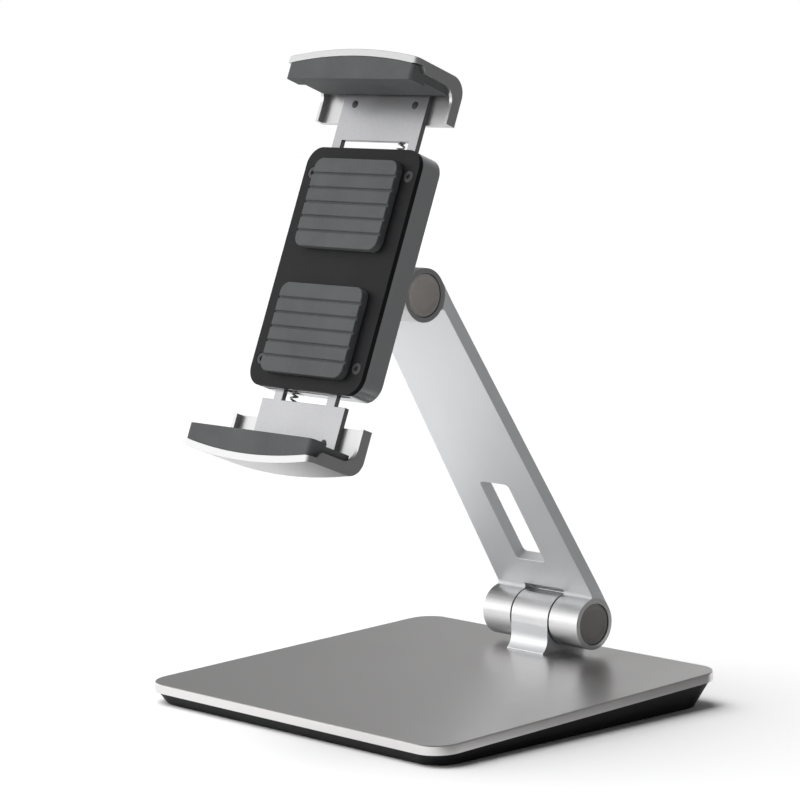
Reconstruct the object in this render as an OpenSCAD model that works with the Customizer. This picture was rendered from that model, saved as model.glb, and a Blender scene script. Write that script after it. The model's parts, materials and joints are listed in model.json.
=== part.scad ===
// Desk stand for a tablet: weighted wedge base, one folding arm, and a swivelling
// head whose two spring-loaded jaws grip the tablet's long edges.
// Millimetres, +Z up, +X to the right, the front edge of the base faces -Y.
// The origin is on the desk, at the centre of the base's footprint.

/* [Base] */
// Width of the base plate, left to right
base_w = 160.6; // [140:0.2:200]
// Depth of the base plate, front to back, seen from above
base_d = 151.2; // [140:0.2:170]
// Thickness of the aluminium top plate
plate_t = 3.5; // [3:0.1:5]
// Height of the plate's top face at its front edge
front_h = 8.0; // [7.5:0.1:10]
// Height of the plate's top face at its back edge
rear_h = 13.8; // [13:0.1:16]
// Corner radius of the base plate, seen from above
base_r = 10.5; // [8:0.5:20]

/* [Arm] */
// Distance from the lower hinge axis to the upper one
arm_len = 157.5; // [140:0.5:190]
// Lean of the arm from vertical, towards the front
arm_lean = 32.7; // [20:0.1:40]
// Thickness of the arm's plate
arm_t = 5.0; // [4:0.1:5.5]
// Width of the arm at the lower hinge
arm_w_low = 50.8; // [48:0.2:56]
// Width of the arm at the upper hinge
arm_w_high = 40.4; // [40:0.2:44]
// Radius of the hinge knuckles
knuckle_r = 10.0; // [9.5:0.1:10.5]
// Width of the tongue that sits between the knuckles
tongue_w = 19.6; // [18:0.2:20]
// Width of the cable slot in the arm
slot_w = 15.2; // [10:0.2:16]
// Length of the cable slot
slot_len = 38.6; // [20:0.2:50]

/* [Head] */
// Backward tilt of the head from vertical
head_tilt = 21.2; // [0:0.1:40]
// Opening between the two jaws' pads, the height of the tablet they hold
grip_gap = 134.7; // [130:0.1:140]
// Thickness of the tablet that the head is built for
tablet_t = 7.5; // [6:0.1:9]
// Width of each jaw
jaw_w = 70.0; // [60:0.5:72]
// Width of the clamp housing
housing_w = 60.0; // [58:0.5:64]
// Height of the clamp housing
housing_h = 92.0; // [90:0.5:94]

/* [Hidden] */
$fn = 64;

// Running clearance on a shaft's radius, and between faces that turn on each other
run_gap = 0.05;
// Gap beside a hinge tongue
side_gap = 0.6;

// Base
slope = atan((rear_h - front_h) / base_d);
plate_d = base_d / cos(slope);
plate_chamfer = 0.3;
tray_inset = 0.3;
tray_draft_front = 0.65;
tray_draft_rear = 0.45;
tray_floor = 2.6;
tray_lift = 0.3;
pocket_w = 142;
pocket_front = -67;
pocket_rear = 65;
pocket_r = 6;
boss_r = 4;
mat_w = 136;
mat_d = 126;
mat_y = -2.5;
mat_t = 1.0;
mat_r = 8;
tray_hole_x = 62;
tray_hole_y = 52;
screw_r = 1.5;
screw_head_r = 2.8;
tray_screw_seat = 2.4;
tray_screw_head_t = 1.3;
tray_screw_bite = 1.8;
// Gap round a fastener that passes freely, and the slack that a thread leaves in its own hole
free_gap = 0.15;
thread_gap = 0.05;
ballast_w = 112;
ballast_t = 2.6;
ballast_front = -50;
ballast_rear = 52;
ballast_upper_t = 2.0;
ballast_upper_front = 2;
ballast_r = 5;
ballast_hole_x = 48;
ballast_hole_y = -6;
ballast_screw_head_r = 2.4;
ballast_screw_head_t = 0.25;
bracket_screw_r = 1.95;

// Hinges
hinge_y = 62.7;
hinge_z = 25.3;
bolt_r = 3;
bolt_head_r = 5;
bolt_head_t = 3;
nut_af = 10;
nut_t = 3.2;
washer_r = 7.5;
washer_t = 0.9;
cap_r = 8.15;
cap_t = 1.2;
cap_set = 0.45;
disc_bore = 3.1;
disc_r = 6.6;
disc_t = 1.0;
hex_r = 2.9;
hex_depth = 1.8;
lower_web = 8;
upper_web = 3.6;
fillet_r = 1.4;
notch_top = knuckle_r + 1.2;
notch_r = knuckle_r + 0.8;
notch_web = 2.2;
slot_start = 24.3;
slot_r = 1.6;

// Head, in its own frame: origin on the upper hinge axis, +Y to the back, +Z up the tablet
tablet_back = -31.5;
glass = tablet_back - tablet_t;
jaw_front = glass - 8;
flange_r = 19;
flange_front = -17;
flange_t = 4;
swivel_r = 2.5;
swivel_tip = -5.5;
swivel_collar_r = 3.5;
swivel_head_r = 6;
swivel_head_t = 2.5;
swivel_socket_r = 2;
wave_t = 0.5;
hub_r = 8;
// Depth of the swivel hub's inner face, where the wave washer lies
hub_front = -21.35;
cover_back = -17.55;
cover_wall = 2;
cover_front = -26.5;
plate_front = -28.5;
housing_r = 7;
// Screws of the two covers, and the ribs between which the slider's legs run
cover_screw_x = 25.6;
cover_screw_z = 36;
cover_screw_r = 0.95;
cover_boss_r = 2.7;
ribs_x = [14.25, 20.15];
rib_w = 2;
rib_h = 76;
rib_back = -18.5;
guide_x = 17.2;
guide_w = 0.8;
guide_h = 72;
guide_depth = 3.4;
rest_depth = 0.9;
rest_h = 80;
pad_w = 44;
pad_h = 34;
pad_r = 4;
pad_z = 24;
pad_sink = 0.6;
pad_gap = 0.2;
groove_w = 0.9;
groove_depth = 0.7;
groove_pitch = 5.5;
slider_front = -25.5;
slider_t = 2;
slider_slack = 0.3;
leg_tip = 15;
inner_leg = [12, 16.5];
outer_leg = [17.9, 22.4];
bridge_low = 50;
slider_top = 68.5;
spring_x = 10.2;
spring_y = -21.4;
spring_r = 1.6;
post_z = 34;
post_r = 0.95;
post_back = -18.3;
post_front = -24.4;
post_head_r = 1.5;
post_head_t = 0.8;
hook_r = 1.4;
jaw_rise = 10.25;
jaw_wall = 2.6;
jaw_crown = 3.1;
jaw_plan_r = 2.4;
jaw_back = -21.5;
jaw_back_wall = 2;
jaw_corner = 6.6;
jaw_foot = 57;
jaw_top = grip_gap / 2 + jaw_rise;
jaw_screw_x = 16;
jaw_screw_z = 64;
crown_r = (jaw_w * jaw_w / 4 + jaw_crown * jaw_crown) / (2 * jaw_crown);
cheek_t = 1.6;
lip = 1.1;

// ---------- placing ----------

// Puts a shape drawn in the (Y, Z) plane into space and gives it a width along X
module across(width) {
    rotate([90, 0, 90]) linear_extrude(height = width, center = true) children();
}

// Puts a shape drawn in the (X, Z) plane between two depths along Y
module between_y(front, back) {
    translate([0, back, 0]) rotate([90, 0, 0]) linear_extrude(height = back - front) children();
}

// A cylinder along X from x0 to x1
module rod_x(radius, x0, x1) {
    translate([x0, 0, 0]) rotate([0, 90, 0]) cylinder(r = radius, h = x1 - x0);
}

// A cylinder along Y from y0 to y1
module rod_y(radius, y0, y1) {
    translate([0, y1, 0]) rotate([90, 0, 0]) cylinder(r = radius, h = y1 - y0);
}

// The sloping frame of the base plate's top face, with its origin at the plate's front edge
module plate_frame() {
    translate([0, -base_d / 2, front_h]) rotate([slope, 0, 0]) children();
}

module lower_hinge_frame() {
    translate([0, hinge_y, hinge_z]) children();
}

module arm_frame() {
    lower_hinge_frame() rotate([arm_lean, 0, 0]) children();
}

module upper_hinge_frame() {
    arm_frame() translate([0, 0, arm_len]) children();
}

module head_frame() {
    translate([0, hinge_y - arm_len * sin(arm_lean), hinge_z + arm_len * cos(arm_lean)])
        rotate([-head_tilt, 0, 0]) children();
}

// Keeps its children for the right side and adds their mirror image
module both_sides() {
    children();
    mirror([1, 0, 0]) children();
}

module rounded_rect(width, height, radius) {
    square([width - 2 * radius, height], center = true);
    square([width, height - 2 * radius], center = true);
    for (x = [-1, 1], y = [-1, 1])
        translate([x * (width / 2 - radius), y * (height / 2 - radius)]) circle(radius);
}

// ---------- base ----------

// Flat plate with round corners and a chamfer along its top edge, top face at z = 0
module chamfered_plate(width, depth, thickness, radius, chamfer) {
    mid = depth / 2;
    low = thickness - chamfer;
    translate([0, mid, -thickness]) linear_extrude(height = low) rounded_rect(width, depth, radius);
    translate([0, mid, 0]) across(width - 2 * radius) edge_outline(depth, chamfer);
    translate([0, mid, 0]) rotate([0, 0, 90]) across(depth - 2 * radius) edge_outline(width, chamfer);
    for (x = [-1, 1], y = [-1, 1])
        translate([x * (width / 2 - radius), mid + y * (depth / 2 - radius), -chamfer])
            cylinder(r1 = radius, r2 = radius - chamfer, h = chamfer);
}

module edge_outline(span, chamfer) {
    polygon([
        [-span / 2, -chamfer], [span / 2, -chamfer],
        [span / 2 - chamfer, 0], [chamfer - span / 2, 0]
    ]);
}

// Places of the four tray screws and the two bracket screws, seen from above
tray_spots = [for (x = [-1, 1], y = [-1, 1]) [x * tray_hole_x, y * tray_hole_y]];
ballast_spots = [for (x = [-1, 1], y = [ballast_front + 8, ballast_hole_y]) [x * ballast_hole_x, y]];
bracket_x = 5.5;
bracket_y = 61;
bracket_head_t = 1.8;
bracket_head_r = 3.4;
bracket_grip = 5.5;
// Height of the plate's top face under the hinge, measured from the hinge axis
plate_under_hinge = front_h + (hinge_y + base_d / 2) * tan(slope) - hinge_z;

// Height of the plate's underside at a depth y
function under_plate(y) = front_h - plate_t / cos(slope) + (y + base_d / 2) * tan(slope);

module bracket_holes(radius, low, high) {
    plate_frame()
        for (x = [-1, 1])
            translate([x * bracket_x, (bracket_y + base_d / 2) / cos(slope), low])
                cylinder(r = radius, h = high - low);
}

module base_plate() {
    color("silver") difference() {
        plate_frame() chamfered_plate(base_w, plate_d, plate_t, base_r, plate_chamfer);
        bracket_holes(bracket_screw_r + free_gap, -plate_t - 1, 1);
        for (spot = tray_spots)
            translate([spot[0], spot[1], 0]) cylinder(r = screw_r, h = under_plate(spot[1]) + 2);
    }
}

// Outline of the tray at a height z: it draws in below the plate's edge on all sides
module tray_ring(z_front, z_rear, inset_front, inset_rear) {
    for (x = [-1, 1])
        for (end = [[-1, z_front, inset_front], [1, z_rear, inset_rear]])
            translate([
                x * (base_w / 2 - base_r - end[2]), end[0] * (base_d / 2 - base_r - end[2]), end[1]
            ])
                cylinder(r = base_r, h = 0.01, $fn = 48);
}

module base_tray() {
    top_front = under_plate(-base_d / 2) - 0.05;
    top_rear = under_plate(base_d / 2) - 0.05;
    color([0.1, 0.1, 0.11]) difference() {
        intersection() {
            hull() {
                tray_ring(top_front + 1, top_rear + 1, tray_inset, tray_inset);
                tray_ring(
                    tray_lift, tray_lift,
                    tray_inset + tray_draft_front * top_front,
                    tray_inset + tray_draft_rear * top_rear
                );
            }
            plate_frame() translate([-base_w / 2, 0, -50]) cube([base_w, plate_d, 50 - plate_t]);
        }
        difference() {
            translate([0, (pocket_front + pocket_rear) / 2, tray_floor])
                linear_extrude(height = 20) rounded_rect(pocket_w, pocket_rear - pocket_front, pocket_r);
            for (spot = tray_spots) translate([spot[0], spot[1], 0]) cylinder(r = boss_r, h = 20);
        }
        translate([0, 0, -1]) linear_extrude(height = 1 + mat_t) foot_outline(0.1);
        for (spot = tray_spots) {
            translate([spot[0], spot[1], -1]) cylinder(r = screw_r + free_gap, h = 20);
            translate([spot[0], spot[1], -1]) cylinder(r = screw_head_r + 0.2, h = 1 + tray_screw_seat);
        }
        for (spot = ballast_spots)
            translate([spot[0], spot[1], 0]) cylinder(r = screw_r, h = 10);
    }
}

// Outline of the silicone mat under the tray
module foot_outline(gap) {
    translate([0, mat_y]) rounded_rect(mat_w + 2 * gap, mat_d + 2 * gap, mat_r);
}

module foot_mat() {
    color([0.16, 0.16, 0.17]) linear_extrude(height = mat_t) foot_outline(0);
}

module ballast_outline(front, rear) {
    translate([0, (front + rear) / 2]) rounded_rect(ballast_w, rear - front, ballast_r);
}

module ballast_lower() {
    color([0.45, 0.45, 0.46]) difference() {
        translate([0, 0, tray_floor]) linear_extrude(height = ballast_t)
            ballast_outline(ballast_front, ballast_rear);
        for (spot = ballast_spots)
            translate([spot[0], spot[1], 0]) cylinder(r = screw_r + 0.2, h = 10);
    }
}

module ballast_upper() {
    color([0.5, 0.5, 0.51]) translate([0, 0, tray_floor + ballast_t])
        linear_extrude(height = ballast_upper_t) ballast_outline(ballast_upper_front, ballast_rear);
}

// Pan-head screw pointing up: shank from z = 0, head below it
module screw_up(length, radius, head_r, head_t) {
    cylinder(r = radius, h = length);
    difference() {
        translate([0, 0, -head_t]) cylinder(r = head_r, h = head_t);
        translate([0, 0, -head_t - 1]) cylinder(r = head_r * 0.5, h = 1 + head_t * 0.5, $fn = 6);
    }
}

module tray_screws() {
    color("dimgray") for (spot = tray_spots)
        translate([spot[0], spot[1], tray_screw_seat])
            screw_up(
                under_plate(spot[1]) + tray_screw_bite - tray_screw_seat, screw_r - thread_gap,
                screw_head_r, tray_screw_head_t
            );
}

module ballast_screws() {
    color("dimgray") for (spot = ballast_spots)
        translate([spot[0], spot[1], tray_floor + ballast_t]) mirror([0, 0, 1])
            screw_up(
                ballast_t + 1, screw_r - thread_gap, ballast_screw_head_r, ballast_screw_head_t
            );
}

// Side view of the fixed hinge tongue: a round eye on a foot that flares onto the plate
module bracket_outline() {
    flare = 2.5;
    flare_h = 5;
    flare_r = (flare_h * flare_h + flare * flare) / (2 * flare);
    foot_z = -20;
    flare_z = plate_under_hinge + flare_h;
    circle(knuckle_r);
    translate([-knuckle_r, foot_z]) square([2 * knuckle_r, -foot_z]);
    for (side = [0, 1])
        mirror([side, 0]) difference() {
            translate([0, foot_z]) square([knuckle_r + flare, flare_z - foot_z]);
            translate([knuckle_r + flare_r, flare_z]) circle(flare_r);
            translate([knuckle_r, foot_z]) square([flare, flare_z - flare_r - foot_z]);
        }
}

module hinge_bracket() {
    color("gainsboro") difference() {
        lower_hinge_frame() across(tongue_w) bracket_outline();
        plate_frame() translate([-50, 0, -50]) cube([100, 2 * plate_d, 50]);
        lower_hinge_frame() rod_x(bolt_r, -tongue_w, tongue_w);
        bracket_holes(bracket_screw_r + thread_gap, -1, bracket_grip + 0.3);
    }
}

module bracket_screws() {
    color("dimgray") plate_frame()
        for (x = [-1, 1])
            translate([x * bracket_x, (bracket_y + base_d / 2) / cos(slope), -plate_t])
                screw_up(plate_t + bracket_grip, bracket_screw_r, bracket_head_r, bracket_head_t);
}

// ---------- hinges ----------

// Hinge bolt along X: the head lies in the left counterbore, the shank ends inside the nut
module hinge_bolt(web, nut_end) {
    head_x = tongue_w / 2 + side_gap + web + run_gap;
    rod_x(bolt_r, -head_x, nut_end);
    difference() {
        rod_x(bolt_head_r, -head_x - bolt_head_t, -head_x);
        translate([-head_x - bolt_head_t - 1, 0, 0]) rotate([0, 90, 0])
            cylinder(r = hex_r, h = 1 + hex_depth, $fn = 6);
    }
}

// Conical disc spring, half as thick as it is high
module disc_spring(web) {
    x0 = tongue_w / 2 + side_gap + web + run_gap;
    translate([x0, 0, 0]) rotate([0, 90, 0]) rotate_extrude()
        polygon([[disc_bore, disc_t / 2], [disc_r, 0], [disc_r, disc_t / 2], [disc_bore, disc_t]]);
}

module hinge_nut(web) {
    x0 = tongue_w / 2 + side_gap + web + run_gap + disc_t;
    difference() {
        translate([x0, 0, 0]) rotate([0, 90, 0])
            cylinder(r = nut_af / sqrt(3), h = nut_t, $fn = 6);
        rod_x(bolt_r, 0, 50);
    }
}

module hinge_washers() {
    both_sides() difference() {
        rod_x(washer_r, tongue_w / 2 + run_gap, tongue_w / 2 + run_gap + washer_t);
        rod_x(bolt_r + run_gap, 0, 50);
    }
}

// Cover disc in the end of a knuckle, with a rim and a dished middle
module hinge_caps(end_x) {
    radius = cap_r - 0.2;
    rim_w = 1.1;
    dish_w = 1.2;
    dish_depth = 0.6;
    both_sides() translate([end_x - cap_set - cap_t, 0, 0]) rotate([0, 90, 0]) rotate_extrude()
        polygon([
            [0, 0], [radius, 0], [radius, cap_t], [radius - rim_w, cap_t],
            [radius - rim_w - dish_w, cap_t - dish_depth], [0, cap_t - dish_depth]
        ]);
}

module lower_bolt() {
    color("gray") lower_hinge_frame() hinge_bolt(lower_web, 22.4);
}

module lower_disc_spring() {
    color("darkgray") lower_hinge_frame() disc_spring(lower_web);
}

module lower_nut() {
    color("gray") lower_hinge_frame() hinge_nut(lower_web);
}

module lower_washers() {
    color("dimgray") arm_frame() hinge_washers();
}

module lower_caps() {
    color([0.32, 0.32, 0.3]) arm_frame() hinge_caps(arm_w_low / 2);
}

module upper_bolt() {
    color("gray") head_frame() hinge_bolt(upper_web, 18);
}

module upper_disc_spring() {
    color("darkgray") head_frame() disc_spring(upper_web);
}

module upper_nut() {
    color("gray") head_frame() hinge_nut(upper_web);
}

module upper_washers() {
    color("dimgray") upper_hinge_frame() hinge_washers();
}

module upper_caps() {
    color([0.32, 0.32, 0.3]) upper_hinge_frame() hinge_caps(arm_w_high / 2);
}

// ---------- arm ----------

// Side view of one end: the knuckle, the plate tangent to its back, and the small fillet
// where the plate's front face runs into the knuckle. side is 1 when the plate goes up.
module knuckle_outline(side) {
    fillet_y = knuckle_r - arm_t - fillet_r;
    fillet_z = sqrt(pow(knuckle_r + fillet_r, 2) - pow(fillet_y, 2));
    circle(knuckle_r);
    difference() {
        polygon([
            [0, 0], [fillet_y, side * fillet_z], [knuckle_r - arm_t, side * fillet_z],
            [knuckle_r, side * fillet_z], [knuckle_r, 0]
        ]);
        translate([fillet_y, side * fillet_z]) circle(fillet_r);
    }
}

// Bore, washer seat and counterbores of a pair of knuckles
module knuckle_holes(web, end_x) {
    inner = tongue_w / 2 + side_gap;
    both_sides() {
        rod_x(bolt_r + run_gap, inner - 1, end_x);
        rod_x(washer_r + 0.1, inner - 1, tongue_w / 2 + run_gap + washer_t);
        rod_x(cap_r, inner + web, end_x + 1);
    }
}

module arm() {
    low = arm_w_low / 2;
    high = arm_w_high / 2;
    gap = tongue_w + 2 * side_gap;
    straight = knuckle_r + 1;
    color("silver") arm_frame() difference() {
        union() {
            across(arm_w_low) knuckle_outline(1);
            translate([0, 0, arm_len]) across(arm_w_high) knuckle_outline(-1);
            between_y(knuckle_r - arm_t, knuckle_r)
                polygon([
                    [-low, 0], [low, 0], [low, straight], [high, arm_len - straight],
                    [high, arm_len], [-high, arm_len], [-high, arm_len - straight], [-low, straight]
                ]);
        }
        for (z = [0, arm_len]) {
            translate([-gap / 2, -30, z - notch_top])
                cube([gap, 30 + knuckle_r - notch_web, 2 * notch_top]);
            translate([0, 0, z]) rod_x(notch_r, -gap / 2, gap / 2);
        }
        knuckle_holes(lower_web, low);
        translate([0, 0, arm_len]) knuckle_holes(upper_web, high);
        between_y(0, 20) translate([0, slot_start + slot_len / 2]) rounded_rect(slot_w, slot_len, slot_r);
    }
}

// ---------- head: tilting block and swivel ----------

module tilt_block() {
    neck_h = 16;
    color("gainsboro") head_frame() difference() {
        union() {
            across(tongue_w) {
                circle(knuckle_r);
                translate([flange_front + 0.5, -neck_h / 2]) square([-flange_front, neck_h]);
            }
            rod_y(flange_r, flange_front, flange_front + flange_t);
        }
        rod_x(bolt_r, -tongue_w, tongue_w);
        rod_y(swivel_r, flange_front - 1, swivel_tip + 0.5);
    }
}

// Depth of the face under the swivel bolt's head
swivel_seat = hub_front - run_gap - wave_t;

module swivel_bolt() {
    head = swivel_seat - swivel_head_t;
    color("gray") head_frame() difference() {
        union() {
            rod_y(swivel_r, cover_back, swivel_tip);
            rod_y(swivel_collar_r, swivel_seat, flange_front);
            rod_y(swivel_head_r, head, swivel_seat);
        }
        rod_y(swivel_socket_r, head - 0.6, head + 1.4);
    }
}

module swivel_wave_washer() {
    color("darkgray") head_frame() difference() {
        rod_y(swivel_head_r + 0.5, swivel_seat, swivel_seat + wave_t);
        rod_y(swivel_collar_r + 0.1, swivel_seat - 1, swivel_seat + 1);
    }
}

module swivel_ring() {
    color("whitesmoke") head_frame() difference() {
        rod_y(flange_r - 1, cover_back, flange_front - run_gap);
        rod_y(hub_r, cover_back - 1, flange_front + 1);
    }
}

// ---------- head: clamp housing ----------

module housing_outline(gap) {
    rounded_rect(housing_w - 2 * gap, housing_h - 2 * gap, housing_r - gap);
}

cover_spots = [for (x = [-1, 1], z = [-1, 1]) [x * cover_screw_x, z * cover_screw_z]];

module rear_cover() {
    rib_front = slider_front + slider_t + 0.1;
    spring_window = 2 * (spring_r + 1.2);
    color("silver") head_frame() difference() {
        union() {
            between_y(cover_front, cover_back) difference() {
                housing_outline(0);
                housing_outline(cover_wall);
            }
            between_y(cover_back - cover_wall, cover_back) housing_outline(0.5);
            rod_y(hub_r, hub_front, cover_back - 0.5);
            for (x = [-1, 1], rib_x = ribs_x)
                translate([x * rib_x - rib_w / 2, rib_front, -rib_h / 2])
                    cube([rib_w, rib_back - rib_front, rib_h]);
            for (spot = cover_spots)
                translate([spot[0], 0, spot[1]]) rod_y(cover_boss_r, cover_front, cover_back - 0.5);
        }
        rod_y(swivel_collar_r + run_gap, -30, 0);
        for (z = [-1, 1])
            translate([-outer_leg[1] - 0.4, slider_front - slider_slack, z * housing_h / 2 - 5])
                cube([2 * outer_leg[1] + 0.8, slider_t + 2 * slider_slack, 10]);
        for (side = [-1, 1])
            translate([side * spring_x - spring_window / 2, slider_front, side * housing_h / 2 - 5])
                cube([spring_window, cover_back - cover_wall - slider_front, 10]);
        for (spot = cover_spots)
            translate([spot[0], 0, spot[1]]) rod_y(cover_screw_r + thread_gap, -30, -19.5);
        for (side = [-1, 1])
            translate([side * spring_x, 0, -side * post_z])
                rod_y(post_r + thread_gap, -30, post_back);
    }
}

module front_cover() {
    color([0.14, 0.14, 0.15]) head_frame() difference() {
        union() {
            between_y(plate_front, cover_front) housing_outline(0);
            for (x = [-1, 1]) {
                translate([x * guide_x - guide_w / 2, cover_front, -guide_h / 2])
                    cube([guide_w, guide_depth, guide_h]);
                for (rib_x = ribs_x)
                    translate([x * rib_x - rib_w / 2, cover_front, -rest_h / 2])
                        cube([rib_w, rest_depth, rest_h]);
            }
        }
        for (z = [-1, 1])
            between_y(-30, plate_front + pad_sink) translate([0, z * pad_z])
                rounded_rect(pad_w + 2 * pad_gap, pad_h + 2 * pad_gap, pad_r + pad_gap);
        for (spot = cover_spots)
            translate([spot[0], 0, spot[1]]) {
                rod_y(1.3, -30, -20);
                rod_y(2.4, -30, plate_front + 1.1);
            }
    }
}

module cover_screws() {
    color("dimgray") head_frame() for (spot = cover_spots)
        translate([spot[0], 0, spot[1]]) difference() {
            union() {
                rod_y(cover_screw_r, plate_front, -20);
                rod_y(2.2, plate_front + 0.1, plate_front + 1.1);
            }
            rod_y(0.9, -30, plate_front + 0.7);
        }
}

// Two silicone pads that the tablet's back lies against, ribbed across
module grip_pads() {
    color([0.2, 0.2, 0.21]) head_frame() for (z = [-1, 1])
        difference() {
            between_y(tablet_back, plate_front + pad_sink) translate([0, z * pad_z])
                rounded_rect(pad_w, pad_h, pad_r);
            for (row = [-2:2])
                translate([-pad_w, tablet_back - 1, z * pad_z + row * groove_pitch - groove_w / 2])
                    cube([2 * pad_w, 1 + groove_depth, groove_w]);
        }
}

module spring_posts() {
    color("gray") head_frame() for (side = [-1, 1])
        translate([side * spring_x, 0, -side * post_z]) {
            rod_y(post_r, post_front, post_back);
            rod_y(post_head_r, post_front - post_head_t, post_front);
        }
}

// Extension spring as the closed outer shape of its coils, with an end loop round each pin
module tension_spring(low, high) {
    loop_r = 2.2;
    wire_r = 0.4;
    stem = loop_r + 0.8;
    translate([0, spring_y, low + stem]) cylinder(r = spring_r, h = high - low - 2 * stem);
    for (end = [low, high])
        translate([0, spring_y, end]) rotate([90, 0, 0])
            rotate_extrude() translate([loop_r, 0]) circle(wire_r);
    for (end = [low + loop_r, high - stem])
        translate([0, spring_y, end]) cylinder(r = wire_r, h = stem - loop_r);
}

module upper_spring() {
    color("lightgray") head_frame() translate([spring_x, 0, 0])
        tension_spring(-post_z, bridge_low + 4);
}

module lower_spring() {
    color("lightgray") head_frame() mirror([0, 0, 1]) translate([-spring_x, 0, 0])
        tension_spring(-post_z, bridge_low + 4);
}

// ---------- head: jaws, drawn for the upper one ----------

// Steel fork: two legs that run in the housing, joined by a bridge behind the jaw
module jaw_slider(leg, hook_x) {
    color("lightslategray") difference() {
        union() {
            between_y(slider_front, slider_front + slider_t) {
                for (side = [-1, 1])
                    translate([side * (leg[0] + leg[1]) / 2 - (leg[1] - leg[0]) / 2, -leg_tip])
                        square([leg[1] - leg[0], leg_tip + bridge_low + 1]);
                translate([-outer_leg[1], bridge_low])
                    square([2 * outer_leg[1], slider_top - bridge_low]);
            }
            translate([hook_x, 0, bridge_low + 4]) rod_y(hook_r, slider_front + slider_t, spring_y + 1);
        }
        for (side = [-1, 1])
            translate([side * jaw_screw_x, 0, jaw_screw_z]) rod_y(screw_r, -30, 0);
    }
}

// Body swept along the jaw's crown: a flat outer face, a round back corner and the wall behind
// the tablet. It starts at the depth front; top_wall and back_wall move it inwards.
module crowned_body(front, top_wall, back_wall) {
    corner = jaw_corner - back_wall;
    corner_y = jaw_back - jaw_corner;
    top = jaw_top - top_wall;
    low = jaw_foot - 2 * jaw_crown;
    translate([0, 0, jaw_top - crown_r]) rotate([-90, 0, 0]) rotate_extrude($fn = 360)
        translate([crown_r - jaw_top, 0]) mirror([1, -1]) {
            translate([front, low]) square([corner_y - front, top - low]);
            translate([front, low]) square([corner_y + corner - front, top - corner - low]);
            translate([corner_y, top - corner]) circle(corner, $fn = 64);
        }
}

// Side view of the space that the jaw's end cheeks leave open
module cheek_opening() {
    front_edge = jaw_top - 5.2;
    step_y = jaw_front + 5;
    step = 1.6;
    cheek_edge = jaw_top - 7.6;
    bend_y = jaw_front + 15.5;
    bend_r = 5.7;
    polygon([
        [jaw_front - 1, 0], [jaw_front - 1, front_edge], [step_y - step, front_edge],
        [step_y, cheek_edge], [bend_y, cheek_edge], [bend_y, 0]
    ]);
    translate([bend_y, cheek_edge - bend_r]) circle(bend_r);
    translate([bend_y - 0.01, 0]) square([bend_r + 0.01, cheek_edge - bend_r]);
}

module jaw_shell() {
    depth = jaw_back - jaw_front + 2 * jaw_plan_r;
    inside_w = jaw_w - 2 * cheek_t;
    color("silver") difference() {
        intersection() {
            crowned_body(jaw_front - 1, 0, 0);
            translate([0, jaw_front + depth / 2, jaw_foot]) linear_extrude(height = 30)
                rounded_rect(jaw_w, depth, jaw_plan_r);
        }
        intersection() {
            crowned_body(jaw_front - 2, jaw_wall, jaw_back_wall);
            translate([-inside_w / 2, jaw_front - 1, 0]) cube([inside_w, depth, jaw_top]);
        }
        across(jaw_w + 2) cheek_opening();
        for (side = [-1, 1])
            translate([side * jaw_screw_x, 0, jaw_screw_z]) {
                rod_y(screw_r + 0.1, -30, 0);
                rod_y(screw_head_r, jaw_back - 1, 0);
            }
    }
}

// Rubber block between the shell and the tablet's edge, with a low lip in front of the glass
module jaw_pad() {
    depth = 20;
    block_w = jaw_w - 2 * cheek_t - 0.1;
    end_r = 1.8;
    floor_z = grip_gap / 2;
    color([0.25, 0.26, 0.27]) difference() {
        intersection() {
            crowned_body(jaw_front, jaw_wall + 0.05, jaw_back_wall + 0.05);
            translate([0, jaw_front + 0.2 + depth / 2, floor_z - lip])
                linear_extrude(height = 20) rounded_rect(block_w, depth, end_r);
        }
        translate([-jaw_w, glass - 0.5, floor_z - 10]) cube([2 * jaw_w, 40, 10]);
    }
}

module jaw_screws() {
    color("dimgray") for (side = [-1, 1])
        translate([side * jaw_screw_x, 0, jaw_screw_z]) difference() {
            union() {
                rod_y(screw_r - 0.05, slider_front - 0.1, jaw_back - 0.5);
                rod_y(screw_head_r - 0.1, jaw_back - 1, jaw_back - 0.2);
            }
            rod_y(1.1, jaw_back - 0.6, 0);
        }
}

module upper_jaw_frame() {
    head_frame() children();
}

module lower_jaw_frame() {
    head_frame() mirror([0, 0, 1]) children();
}

module upper_slider() { upper_jaw_frame() jaw_slider(outer_leg, spring_x); }
module upper_jaw() { upper_jaw_frame() jaw_shell(); }
module upper_jaw_pad() { upper_jaw_frame() jaw_pad(); }
module upper_jaw_screws() { upper_jaw_frame() jaw_screws(); }
module lower_slider() { lower_jaw_frame() jaw_slider(inner_leg, -spring_x); }
module lower_jaw() { lower_jaw_frame() jaw_shell(); }
module lower_jaw_pad() { lower_jaw_frame() jaw_pad(); }
module lower_jaw_screws() { lower_jaw_frame() jaw_screws(); }

// ---------- nodes ----------

base_plate();
base_tray();
foot_mat();
ballast_lower();
ballast_upper();
tray_screws();
ballast_screws();
hinge_bracket();
bracket_screws();
lower_bolt();
lower_disc_spring();
lower_nut();
arm();
lower_washers();
lower_caps();
upper_washers();
upper_caps();
tilt_block();
upper_bolt();
upper_disc_spring();
upper_nut();
swivel_bolt();
swivel_wave_washer();
swivel_ring();
rear_cover();
front_cover();
cover_screws();
grip_pads();
spring_posts();
upper_spring();
lower_spring();
upper_slider();
upper_jaw();
upper_jaw_pad();
upper_jaw_screws();
lower_slider();
lower_jaw();
lower_jaw_pad();
lower_jaw_screws();
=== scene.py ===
"""Looks of the tablet stand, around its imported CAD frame. Metres, +Z up, desk at z = 0."""

import json
import math

import bmesh
import bpy
from mathutils import Matrix, Vector


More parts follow.
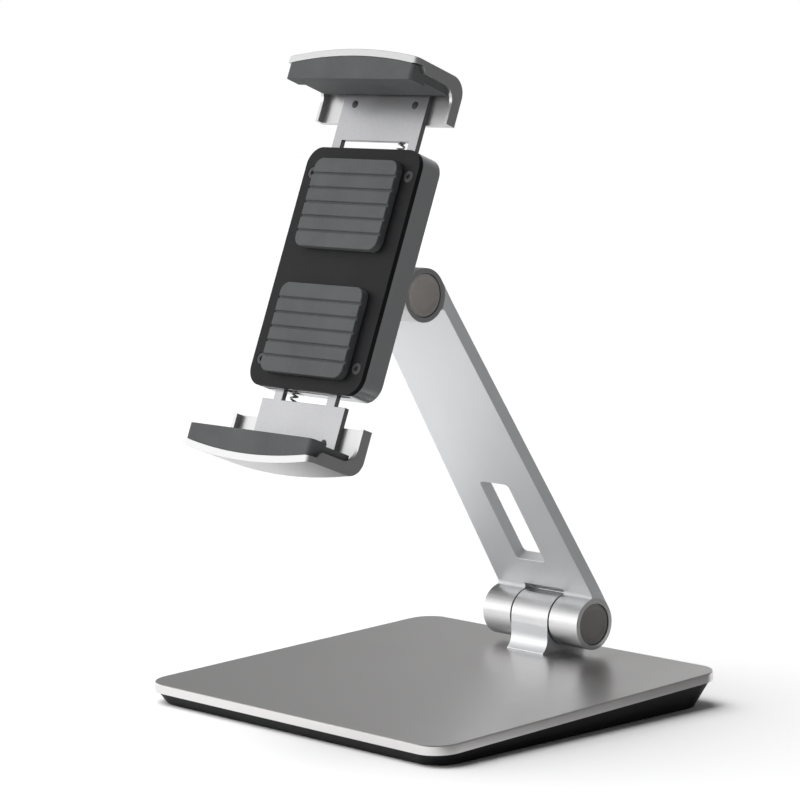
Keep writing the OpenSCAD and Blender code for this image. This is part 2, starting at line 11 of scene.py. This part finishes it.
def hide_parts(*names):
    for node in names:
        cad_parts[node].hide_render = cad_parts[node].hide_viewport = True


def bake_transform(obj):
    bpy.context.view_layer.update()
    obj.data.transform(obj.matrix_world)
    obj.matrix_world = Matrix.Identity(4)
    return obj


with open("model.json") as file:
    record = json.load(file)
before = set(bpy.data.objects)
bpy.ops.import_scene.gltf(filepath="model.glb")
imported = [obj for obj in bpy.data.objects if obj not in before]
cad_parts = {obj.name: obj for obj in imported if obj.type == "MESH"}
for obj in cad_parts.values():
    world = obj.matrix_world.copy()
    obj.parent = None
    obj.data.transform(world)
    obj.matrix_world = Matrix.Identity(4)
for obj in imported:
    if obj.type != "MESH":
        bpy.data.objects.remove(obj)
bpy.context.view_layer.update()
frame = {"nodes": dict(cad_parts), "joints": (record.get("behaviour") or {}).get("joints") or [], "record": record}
scene = bpy.context.scene
nodes = frame["nodes"]
JOINTS = {joint["name"]: joint for joint in frame["joints"]}
MM = 0.001


# ---------- small node helpers ----------

# Places of the factor and the two values among a Mix node's inputs
MIX_NUMBERS = (0, 2, 3)
MIX_COLORS = (0, 6, 7)


class NodeTree:
    """A node tree being filled: add() makes a node and feeds its inputs."""

    def __init__(self, tree):
        self.tree = tree
        self.tree.nodes.clear()

    def add(self, kind, props=None, **inputs):
        """A new node with its properties set and its inputs fed, by name."""
        made = self.tree.nodes.new(kind)
        for key, value in (props or {}).items():
            setattr(made, key, value)
        for key, value in inputs.items():
            self.feed(made, key.replace("_", " "), value)
        return made

    def feed(self, made, key, value):
        """Links a socket to an input, or sets the input's number or colour."""
        socket = made.inputs[key]
        if isinstance(value, bpy.types.NodeSocket):
            self.tree.links.new(value, socket)
        else:
            socket.default_value = value

    def vector_math(self, operation, first, second=(0, 0, 0)):
        """A vector operation on two sockets or constants."""
        made = self.add("ShaderNodeVectorMath", {"operation": operation})
        self.feed(made, 0, first)
        self.feed(made, 1, second)
        return made


class Shader(NodeTree):
    """A material being built around one surface shader."""

    def __init__(self, name):
        self.material = bpy.data.materials.new(name)
        self.material.use_nodes = True
        super().__init__(self.material.node_tree)
        self.bsdf = self.add("ShaderNodeBsdfPrincipled")
        self.add("ShaderNodeOutputMaterial", Surface=self.bsdf.outputs[0])

    def set(self, **inputs):
        """Feeds inputs of the surface shader."""
        for key, value in inputs.items():
            self.feed(self.bsdf, key.replace("_", " "), value)

    def place(self, stretch):
        """Object coordinates in metres, multiplied by a number for each axis."""
        coords = self.add("ShaderNodeTexCoord").outputs["Object"]
        return self.add("ShaderNodeMapping", Vector=coords, Scale=stretch).outputs[0]

    def noise(self, scale, detail, roughness=0.55, stretch=(1, 1, 1)):
        """Fractal noise, scale in cells per metre; a small stretch draws it out along an axis."""
        made = self.add(
            "ShaderNodeTexNoise", Vector=self.place(stretch), Scale=scale, Detail=detail,
            Roughness=roughness,
        )
        return made.outputs["Fac"]

    def ramp(self, value, low, high, from_low=0.3, from_high=0.7):
        """A number between low and high, following value between from_low and from_high."""
        made = self.add(
            "ShaderNodeMapRange", Value=value, From_Min=from_low, From_Max=from_high,
            To_Min=low, To_Max=high,
        )
        return made.outputs[0]

    def axis_distance(self):
        """Distance to the nearer of the arm's two hinge axes, which both run along x."""
        coords = self.add("ShaderNodeTexCoord").outputs["Object"]
        nearer = self.add("ShaderNodeMath", {"operation": "MINIMUM"})
        for index, joint in enumerate(("arm_pivot", "head_tilt")):
            offset = self.vector_math("SUBTRACT", coords, JOINTS[joint]["pos_m"]).outputs[0]
            across = self.vector_math("MULTIPLY", offset, (0, 1, 1)).outputs[0]
            self.feed(nearer, index, self.vector_math("LENGTH", across).outputs["Value"])
        return nearer.outputs[0]

    def mix_number(self, factor, a, b):
        """a where factor is 0, b where it is 1."""
        made = self.add("ShaderNodeMix")
        for index, value in zip(MIX_NUMBERS, (factor, a, b)):
            self.feed(made, index, value)
        return made.outputs[0]

    def mix_color(self, factor, a, b):
        """Like mix_number, for colours given as three numbers or a socket."""
        made = self.add("ShaderNodeMix", {"data_type": "RGBA"})
        for index, value in zip(MIX_COLORS, (factor, a, b)):
            self.feed(made, index, (*value, 1) if isinstance(value, tuple) else value)
        return made.outputs[2]

    def bump(self, height, strength, distance):
        """Makes the surface look raised where height is large."""
        made = self.add("ShaderNodeBump", Height=height, Strength=strength, Distance=distance)
        self.feed(self.bsdf, "Normal", made.outputs[0])


# ---------- materials ----------

# Noise scales, per metre, of the marks that the finishes share
BLAST_SCALE = 5200
HANDLING_SCALE = 38
LINE_SCALE = 2600
MOULD_SCALE = 1700
RUBBER_SCALE = 2400
# How deep the marks are, in metres
BLAST_DEPTH = 0.04 * MM
LINE_DEPTH = 0.03 * MM
MOULD_DEPTH = 0.08 * MM
RUBBER_DEPTH = 0.07 * MM
# Lines run along the axis whose scale is small
LINES_ALONG = {"x": (0.02, 1, 1), "z": (1, 1, 0.02)}
# Distances from a hinge axis over which the arm's turned barrel and its rough neck end
BARREL_END = (10.04 * MM, 10.3 * MM)
NECK_END = (11.4 * MM, 12.2 * MM)
NECK_ROUGHNESS = 0.7


def scaled(color, factor, lift=0.0):
    """The colour made darker or lighter by a factor, then lifted."""
    return tuple(min(1, channel * factor + lift) for channel in color)


def blasted(shader, color, roughness):
    """Colour and roughness of bead-blasted metal with faint handling marks."""
    marks = shader.noise(HANDLING_SCALE, detail=4)
    return (
        shader.mix_color(shader.ramp(marks, 0, 1), scaled(color, 0.965), color),
        shader.ramp(marks, roughness - 0.02, roughness + 0.03),
    )


def machined_lines(shader, along):
    """Noise drawn out into fine parallel lines along one axis."""
    return shader.noise(LINE_SCALE, detail=3, roughness=0.65, stretch=LINES_ALONG[along])


def anodised(name, color, roughness, metallic=1.0):
    """Bead-blasted, anodised aluminium: a fine sparkle of grain and faint handling marks."""
    shader = Shader(name)
    surface_color, surface_roughness = blasted(shader, color, roughness)
    shader.set(Metallic=metallic, Base_Color=surface_color, Roughness=surface_roughness)
    shader.bump(shader.noise(BLAST_SCALE, detail=2), strength=0.03, distance=BLAST_DEPTH)
    return shader.material


def turned_arm(name, color, roughness, metallic, barrel_color, barrel_roughness):
    """Anodised arm whose hinge barrels are bare turned metal, lined along the hinge axis."""
    shader = Shader(name)
    distance = shader.axis_distance()
    barrel = shader.ramp(distance, 1, 0, *BARREL_END)
    neck = shader.ramp(distance, 1, 0, *NECK_END)
    grain = shader.noise(BLAST_SCALE, detail=2)
    lines = machined_lines(shader, "x")
    plain_color, plain_roughness = blasted(shader, color, roughness)
    plain_roughness = shader.mix_number(neck, plain_roughness, NECK_ROUGHNESS)
    line_color = shader.mix_color(
        shader.ramp(lines, 0, 1), scaled(barrel_color, 0.88), barrel_color)
    line_roughness = shader.ramp(lines, barrel_roughness - 0.03, barrel_roughness + 0.05)
    shader.set(
        Metallic=shader.ramp(barrel, metallic, 1.0, 0, 1),
        Base_Color=shader.mix_color(barrel, plain_color, line_color),
        Roughness=shader.mix_number(barrel, plain_roughness, line_roughness),
    )
    relief = shader.mix_number(barrel, grain, lines)
    shader.bump(relief, strength=0.05, distance=BLAST_DEPTH)
    return shader.material


def brushed(name, color, roughness, along):
    """Machined metal with fine parallel lines along one axis."""
    shader = Shader(name)
    lines = machined_lines(shader, along)
    broad = shader.noise(60, detail=3)
    shader.set(
        Metallic=1.0,
        Base_Color=shader.mix_color(shader.ramp(lines, 0, 1), scaled(color, 0.9), color),
        Roughness=shader.ramp(broad, roughness - 0.03, roughness + 0.05),
    )
    shader.bump(lines, strength=0.12, distance=LINE_DEPTH)
    return shader.material


def plastic(name, color, roughness, grain_scale=MOULD_SCALE, grain=0.25, specular=0.3):
    """Moulded plastic with a fine spark-eroded grain."""
    shader = Shader(name)
    fine = shader.noise(grain_scale, detail=4, roughness=0.7)
    broad = shader.noise(45, detail=3)
    shader.set(
        Base_Color=shader.mix_color(shader.ramp(broad, 0, 1), color, scaled(color, 1.35, 0.002)),
        Roughness=shader.ramp(fine, roughness - 0.05, roughness + 0.08),
        Specular_IOR_Level=specular,
    )
    shader.bump(fine, strength=grain, distance=MOULD_DEPTH)
    return shader.material


def rubber(name, color):
    """Matt silicone rubber: soft, slightly dusty, with a dull sheen."""
    shader = Shader(name)
    fine = shader.noise(RUBBER_SCALE, detail=3, roughness=0.7)
    broad = shader.noise(70, detail=4)
    shader.set(
        Base_Color=shader.mix_color(shader.ramp(broad, 0, 1), color, scaled(color, 1.18, 0.004)),
        Roughness=shader.ramp(fine, 0.66, 0.82),
        Specular_IOR_Level=0.3,
    )
    shader.bump(fine, strength=0.3, distance=RUBBER_DEPTH)
    return shader.material


MATERIALS = {
    "plate_aluminium": anodised("plate_aluminium", (0.775, 0.76, 0.755), 0.31),
    "arm_aluminium": turned_arm(
        "arm_aluminium", (0.79, 0.805, 0.82), 0.40, metallic=0.6,
        barrel_color=(0.615, 0.615, 0.62), barrel_roughness=0.36,
    ),
    "jaw_aluminium": anodised("jaw_aluminium", (0.56, 0.56, 0.56), 0.34, metallic=0.9),
    "cover_aluminium": anodised("cover_aluminium", (0.60, 0.61, 0.62), 0.32),
    "hinge_steel": brushed("hinge_steel", (0.865, 0.865, 0.865), 0.33, along="x"),
    "spring_steel": brushed("spring_steel", (0.45, 0.45, 0.46), 0.28, along="z"),
    "slider_steel": brushed("slider_steel", (0.40, 0.40, 0.41), 0.34, along="z"),
    "screw_steel": plastic("screw_steel", (0.03, 0.03, 0.032), 0.35, grain_scale=3000, grain=0.1),
    "ballast_steel": brushed("ballast_steel", (0.20, 0.20, 0.21), 0.5, along="x"),
    "black_plastic": plastic("black_plastic", (0.005, 0.005, 0.006), 0.5, specular=0.18),
    "cap_plastic": plastic("cap_plastic", (0.225, 0.21, 0.20), 0.34, grain_scale=3500, grain=0.08),
    "washer_polymer": plastic("washer_polymer", (0.6, 0.59, 0.55), 0.4),
    "pad_rubber": rubber("pad_rubber", (0.075, 0.079, 0.080)),
    "mat_rubber": rubber("mat_rubber", (0.02, 0.02, 0.021)),
}


# ---------- CAD nodes that keep their shape ----------

WELD_DISTANCE = 0.002 * MM
# Triangles that meet at less than this angle become one face
FLAT_ANGLE = math.radians(0.8)
# Edges sharper than this angle are rounded
SHARP_ANGLE = math.radians(40)
BEVEL_SEGMENTS = 3
FACE_WEIGHT = 80


def soften_edges(obj, width):
    """Joins a CAD node's flat triangles into whole faces and rounds its sharp edges a little."""
    weld = obj.modifiers.new("weld", "WELD")
    weld.merge_threshold = WELD_DISTANCE
    flat = obj.modifiers.new("flat", "DECIMATE")
    flat.decimate_type = "DISSOLVE"
    flat.angle_limit = FLAT_ANGLE
    if width:
        bevel = obj.modifiers.new("bevel", "BEVEL")
        bevel.width = width
        bevel.segments = BEVEL_SEGMENTS
        bevel.limit_method = "ANGLE"
        bevel.angle_limit = SHARP_ANGLE
        bevel.use_clamp_overlap = True
        bevel.harden_normals = True
    for face in obj.data.polygons:
        face.use_smooth = True
    even = obj.modifiers.new("even", "WEIGHTED_NORMAL")
    even.mode = "FACE_AREA"
    even.weight = FACE_WEIGHT
    even.keep_sharp = False


SLOT_OF = {part["node"]: part["material_slot"] for part in frame["record"]["subparts"]}
# Width of the rounding of a node's edges; nodes that aren't listed keep theirs sharp
EDGE_WIDTH = {
    "arm": 0.35 * MM, "hinge_bracket": 0.4 * MM, "tilt_block": 0.4 * MM,
    "rear_cover": 0.6 * MM, "front_cover": 0.5 * MM, "upper_jaw": 0.4 * MM,
    "lower_jaw": 0.4 * MM, "upper_jaw_pad": 0.7 * MM, "lower_jaw_pad": 0.7 * MM,
    "grip_pads": 0.4 * MM, "base_tray": 0.4 * MM, "base_plate": 0.12 * MM,
    "lower_caps": 0.15 * MM, "upper_caps": 0.15 * MM, "upper_slider": 0.2 * MM,
    "lower_slider": 0.2 * MM,
}
for name, obj in nodes.items():
    obj.data.materials.clear()
    obj.data.materials.append(MATERIALS[SLOT_OF[name]])
    soften_edges(obj, EDGE_WIDTH.get(name, 0))


# ---------- springs ----------

# Radius of the coil at the middle of its wire, and the sizes of the wire and its end loops
SPRING_RADIUS = 1.2 * MM
WIRE_RADIUS = 0.4 * MM
LOOP_RADIUS = 2.2 * MM
# Distance from a loop's centre to the first turn of the coil
STEM = 3.0 * MM
SPRING_TURNS = 41
TURN_POINTS = 14
LOOP_POINTS = 22
# Angle that the loop leaves open beside the stem
LOOP_OPENING = math.radians(60)
WIRE_SIDES = 8
# Where the upper jaw's spring is, from the upper hinge: behind it (negative is in front), down to
# its pin, up to its hook, and to the right; the lower jaw's is this one turned half way round
SPRING_OFFSET = -21.4 * MM
PIN_HEIGHT = 34 * MM
HOOK_HEIGHT = 54 * MM
SPRING_SIDE = 10.2 * MM


def spring_path():
    """Points of one extension spring along z: loop round the pin, coil, loop round the hook."""
    length = PIN_HEIGHT + HOOK_HEIGHT
    lower = []
    for index in range(LOOP_POINTS + 1):
        angle = LOOP_OPENING + (2 * math.pi - LOOP_OPENING) * index / LOOP_POINTS
        lower.append((LOOP_RADIUS * math.sin(angle), 0, LOOP_RADIUS * math.cos(angle)))
    coil = []
    coil_length = length - 2 * STEM
    coil_points = SPRING_TURNS * TURN_POINTS
    for index in range(coil_points + 1):
        angle = 2 * math.pi * index / TURN_POINTS
        rise = STEM + coil_length * index / coil_points
        coil.append((SPRING_RADIUS * math.sin(angle), SPRING_RADIUS * math.cos(angle), rise))
    upper = [(x, y, length - z) for x, y, z in reversed(lower)]
    return lower + coil + upper


def sweep_wire(name, points, radius):
    """Round wire along a line of points, with closed ends."""
    mesh = bmesh.new()
    rings = []
    side = Vector((0, 1, 0))
    for index, point in enumerate(points):
        ahead = points[min(index + 1, len(points) - 1)] - points[max(index - 1, 0)]
        ahead.normalize()
        side = (side - side.dot(ahead) * ahead).normalized()
        up = ahead.cross(side)
        ring = []
        for step in range(WIRE_SIDES):
            angle = 2 * math.pi * step / WIRE_SIDES
            outward = math.cos(angle) * side + math.sin(angle) * up
            ring.append(mesh.verts.new(point + radius * outward))
        rings.append(ring)
    for ring, following in zip(rings, rings[1:]):
        for step in range(WIRE_SIDES):
            after = (step + 1) % WIRE_SIDES
            mesh.faces.new((ring[step], ring[after], following[after], following[step]))
    mesh.faces.new(list(reversed(rings[0])))
    mesh.faces.new(rings[-1])
    for face in mesh.faces:
        face.smooth = True
    data = bpy.data.meshes.new(name)
    mesh.to_mesh(data)
    mesh.free()
    wire = bpy.data.objects.new(name, data)
    scene.collection.objects.link(wire)
    return wire


def make_spring(name, node, towards):
    """Coil spring from its pin on the clamp to one jaw's hook; towards is 1 for the upper jaw."""
    hinge = Vector(JOINTS["head_tilt"]["pos_m"])
    up = Vector(JOINTS["upper_jaw_slide"]["axis"])
    right = Vector((1, 0, 0))
    back = up.cross(right)
    pin = hinge + towards * SPRING_SIDE * right + SPRING_OFFSET * back - towards * PIN_HEIGHT * up
    points = [pin + x * right + y * back + towards * z * up for x, y, z in spring_path()]
    spring = sweep_wire(name, points, WIRE_RADIUS)
    spring.data.materials.append(MATERIALS["spring_steel"])
    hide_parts(node)
    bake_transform(spring)


make_spring("upper_coil", "upper_spring", towards=1)
make_spring("lower_coil", "lower_spring", towards=-1)


# ---------- stage ----------

CAMERA_AZIMUTH = math.radians(46.473)
CAMERA_ELEVATION = math.radians(6.724)
CAMERA_ROLL = math.radians(-0.324)
CAMERA_DISTANCE = 1.17175
CAMERA_TARGET = Vector((-0.01701, 0, 0.11456))
CAMERA_LENS = 139.03
CAMERA_SENSOR = 36


def make_camera():
    back = Vector((
        math.sin(CAMERA_AZIMUTH) * math.cos(CAMERA_ELEVATION),
        -math.cos(CAMERA_AZIMUTH) * math.cos(CAMERA_ELEVATION),
        math.sin(CAMERA_ELEVATION),
    ))
    side = Vector((math.cos(CAMERA_AZIMUTH), math.sin(CAMERA_AZIMUTH), 0))
    up = back.cross(side)
    turned_side = math.cos(CAMERA_ROLL) * side + math.sin(CAMERA_ROLL) * up
    turned_up = math.cos(CAMERA_ROLL) * up - math.sin(CAMERA_ROLL) * side
    data = bpy.data.cameras.new("view")
    data.sensor_width = CAMERA_SENSOR
    data.lens = CAMERA_LENS
    camera = bpy.data.objects.new("view", data)
    turn = Matrix((turned_side, turned_up, back)).transposed().to_4x4()
    camera.matrix_world = Matrix.Translation(CAMERA_TARGET + back * CAMERA_DISTANCE) @ turn
    scene.collection.objects.link(camera)
    scene.camera = camera


def stage_sheet(name, corners):
    mesh = bpy.data.meshes.new(name)
    mesh.from_pydata(corners, [], [range(len(corners))])
    sheet = bpy.data.objects.new(name, mesh)
    scene.collection.objects.link(sheet)
    return sheet


def make_floor():
    """Plain pale table top."""
    half = 4.0
    corners = [(-half, -half, 0), (half, -half, 0), (half, half, 0), (-half, half, 0)]
    floor = stage_sheet("floor", corners)
    shader = Shader("floor")
    shader.set(Base_Color=(0.93, 0.93, 0.93, 1), Roughness=0.9, Specular_IOR_Level=0.0)
    floor.data.materials.append(shader.material)


def make_flag():
    """Gray studio flag at the right: only reflections see it, and it darkens faces on that side."""
    level = 0.16
    x, front, back, top = 0.098, -0.3, 0.7, 0.45
    corners = [(x, front, 0), (x, back, 0), (x, back, top), (x, front, top)]
    flag = stage_sheet("flag", corners)
    shader = Shader("flag")
    shader.set(Base_Color=(0, 0, 0, 1), Specular_IOR_Level=0.0)
    shader.set(Emission_Color=(level, level, level, 1), Emission_Strength=1.0)
    flag.data.materials.append(shader.material)
    flag.visible_camera = False
    flag.visible_diffuse = False
    flag.visible_shadow = False


CEILING_PLACE = Vector((-0.35, -0.3, 1.0))
CEILING_STRENGTH = 3.0
CEILING_ANGLE = math.radians(56)


def make_ceiling():
    """Even light from a wide part of the ceiling; it lights the table and leaves no glint."""
    data = bpy.data.lights.new("ceiling", "SUN")
    data.energy = CEILING_STRENGTH
    data.angle = CEILING_ANGLE
    light = bpy.data.objects.new("ceiling", data)
    light.location = CEILING_PLACE
    light.rotation_euler = (-CEILING_PLACE).to_track_quat("-Z", "Y").to_euler()
    light.visible_glossy = False
    scene.collection.objects.link(light)


KEY_STRENGTH = 2.4
# Brightness of the studio walls as a share of the key wall's, against how far a direction faces
# the key wall
WALLS = ((0.0, 0.05), (0.25, 0.05), (0.50, 0.02), (0.70, 0.03), (0.83, 0.60), (0.95, 1.0))
# The share of it that is left, against the height of the direction, up to the zenith
RISE = ((0.0, 1.0), (0.30, 1.0), (0.60, 0.22), (1.0, 0.20))
# A small glow on the back wall, against how far a direction faces that wall
GLOW = ((0.0, 0.0), (0.94, 0.01), (1.0, 0.50))
KEY_WALL = Vector((-0.75, -0.66, 0.0))
BACK_WALL = Vector((-0.45, 0.89, 0.0))


def gray_ramp(tree, value, stops):
    """Gray level that runs smoothly through the stops as value goes from 0 to 1."""
    made = tree.add("ShaderNodeValToRGB")
    made.color_ramp.interpolation = "B_SPLINE"
    elements = made.color_ramp.elements
    elements.remove(elements[0])
    for index, (place, level) in enumerate(stops):
        element = elements[0] if index == 0 else elements.new(place)
        element.position = place
        element.color = (level, level, level, 1)
    tree.feed(made, 0, value)
    return made.outputs[0]


def facing(tree, direction, wall):
    """0 for a direction away from the wall, 1 for one straight at it."""
    dot = tree.vector_math("DOT_PRODUCT", direction, wall).outputs["Value"]
    return tree.add("ShaderNodeMapRange", Value=dot, From_Min=-1).outputs[0]


def make_world():
    """White to the camera; in reflections, bright walls at front left and dim ones at the right."""
    world = bpy.data.worlds.new("studio")
    world.use_nodes = True
    tree = NodeTree(world.node_tree)
    direction = tree.add("ShaderNodeTexCoord").outputs["Generated"]
    height = tree.add("ShaderNodeSeparateXYZ", Vector=direction).outputs["Z"]
    walls = gray_ramp(tree, facing(tree, direction, KEY_WALL), WALLS)
    faded = tree.vector_math("MULTIPLY", walls, gray_ramp(tree, height, RISE)).outputs[0]
    glow = gray_ramp(tree, facing(tree, direction, BACK_WALL), GLOW)
    total = tree.vector_math("ADD", faded, glow).outputs[0]
    light = tree.add("ShaderNodeBackground", Color=total, Strength=KEY_STRENGTH)
    seen = tree.add("ShaderNodeBackground", Color=(1, 1, 1, 1), Strength=1.0)
    camera_ray = tree.add("ShaderNodeLightPath").outputs["Is Camera Ray"]
    mix = tree.add("ShaderNodeMixShader")
    for index, value in enumerate((camera_ray, light.outputs[0], seen.outputs[0])):
        tree.feed(mix, index, value)
    tree.add("ShaderNodeOutputWorld", Surface=mix.outputs[0])
    scene.world = world


make_camera()
make_floor()
make_flag()
make_world()
make_ceiling()
scene.view_settings.view_transform = "Standard"
scene.view_settings.look = "None"
